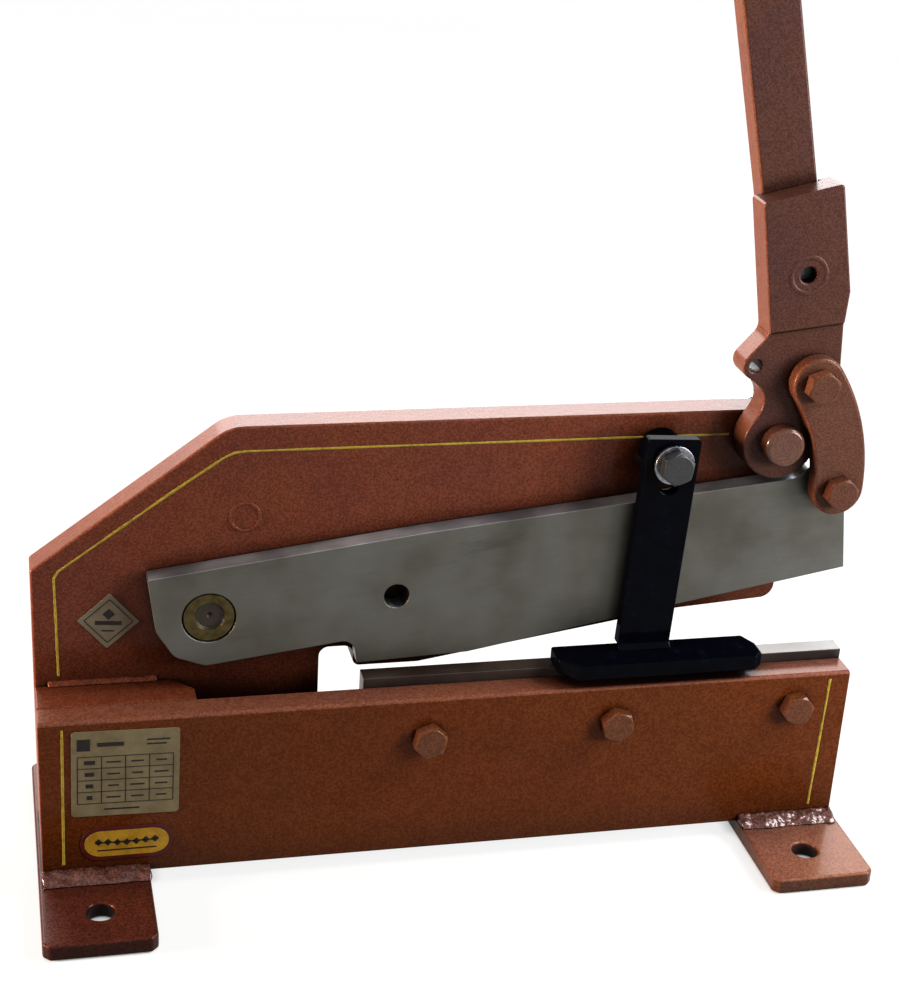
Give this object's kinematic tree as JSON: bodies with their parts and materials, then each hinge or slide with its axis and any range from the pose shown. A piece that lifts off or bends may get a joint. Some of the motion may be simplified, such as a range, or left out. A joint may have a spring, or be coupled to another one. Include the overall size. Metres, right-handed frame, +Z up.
{
  "type": "bench shear",
  "caption": "Hand lever plate shear: welded frame with a fixed lower blade, a hinged upper knife worked by a long lever through a toggle link, and a slotted hold-down.",
  "frame": {"origin": "on the bench, under the middle of the four foot corners", "axes": "+Z up, +X to the right along the blades, away from the knife's pivot, +Y from the operator to the back plate"},
  "size_m": [0.493, 0.194, 1.2248],
  "materials": {
    "hammer_enamel": "copper-brown metallic hammer enamel, satin gloss",
    "painted_weld": "copper-brown enamel over rough weld",
    "knife_steel": "surface-ground tool steel, oiled",
    "blade_steel": "dark ground tool steel",
    "black_paint": "black gloss enamel",
    "zinc_steel": "bright zinc plate",
    "passivated_steel": "yellow passivated zinc plate, turned face",
    "label_foil": "printed foil",
    "grip_rubber": "matt dipped vinyl"
  },
  "bodies": {
    "frame": {"back_plate": "hammer_enamel", "front_plate": "hammer_enamel", "end_spacer": "hammer_enamel", "low_spacer": "hammer_enamel", "left_foot": "hammer_enamel", "right_foot": "hammer_enamel", "ledge_weld": "painted_weld", "left_front_weld": "painted_weld", "left_rear_weld": "painted_weld", "right_front_weld": "painted_weld", "right_rear_weld": "painted_weld", "lower_blade": "blade_steel", "blade_bolt_1": "hammer_enamel", "blade_bolt_2": "hammer_enamel", "blade_bolt_3": "hammer_enamel", "knife_pivot_pin": "passivated_steel", "knife_pivot_washer": "zinc_steel", "knife_pivot_nut": "zinc_steel", "lever_pin": "hammer_enamel", "lever_pin_washer": "zinc_steel", "lever_pin_nut": "zinc_steel", "clamp_bolt": "black_paint", "clamp_washer": "zinc_steel", "clamp_spacer": "black_paint", "rating_label": "label_foil", "oval_label": "label_foil", "diamond_label": "label_foil"},
    "knife": {"knife": "knife_steel", "link_low_bolt": "hammer_enamel", "link_low_spacer": "zinc_steel", "link_low_washer": "zinc_steel", "link_low_nut": "zinc_steel"},
    "lever": {"lever_head": "hammer_enamel", "lever_bar": "hammer_enamel", "bar_screw": "zinc_steel", "bar_screw_washer": "zinc_steel", "hand_grip": "grip_rubber"},
    "link": {"link_plate": "hammer_enamel", "link_high_bolt": "hammer_enamel", "link_high_washer": "zinc_steel", "link_high_nut": "zinc_steel"},
    "hold_down": {"hold_down_arm": "black_paint", "hold_down_weld": "black_paint", "hold_down_shoe": "black_paint"}
  },
  "joints": [
    {"name": "lever_hinge", "type": "hinge", "parent": "frame", "child": "lever", "pos_m": [0.189, 0, 0.25512], "axis": [0, 1, 0], "range_deg": [0, 82]},
    {"name": "knife_hinge", "type": "hinge", "parent": "frame", "child": "knife", "pos_m": [-0.1448, 0, 0.1575], "axis": [0, 1, 0], "range_deg": [0, 8]},
    {"name": "link_hinge", "type": "hinge", "parent": "knife", "child": "link", "pos_m": [0.22518, 0, 0.22741], "axis": [0, 1, 0], "range_deg": [0, 13.7]},
    {"name": "hold_down_slide", "type": "slide", "parent": "frame", "child": "hold_down", "axis": [0.0489, 0, 0.9988], "range_m": [0, 0.013]}
  ],
  "couplings": [
    {"joint": "knife_hinge", "follows": "lever_hinge", "ratio": 0.0975},
    {"joint": "link_hinge", "follows": "lever_hinge", "ratio": 0.166}
  ]
}
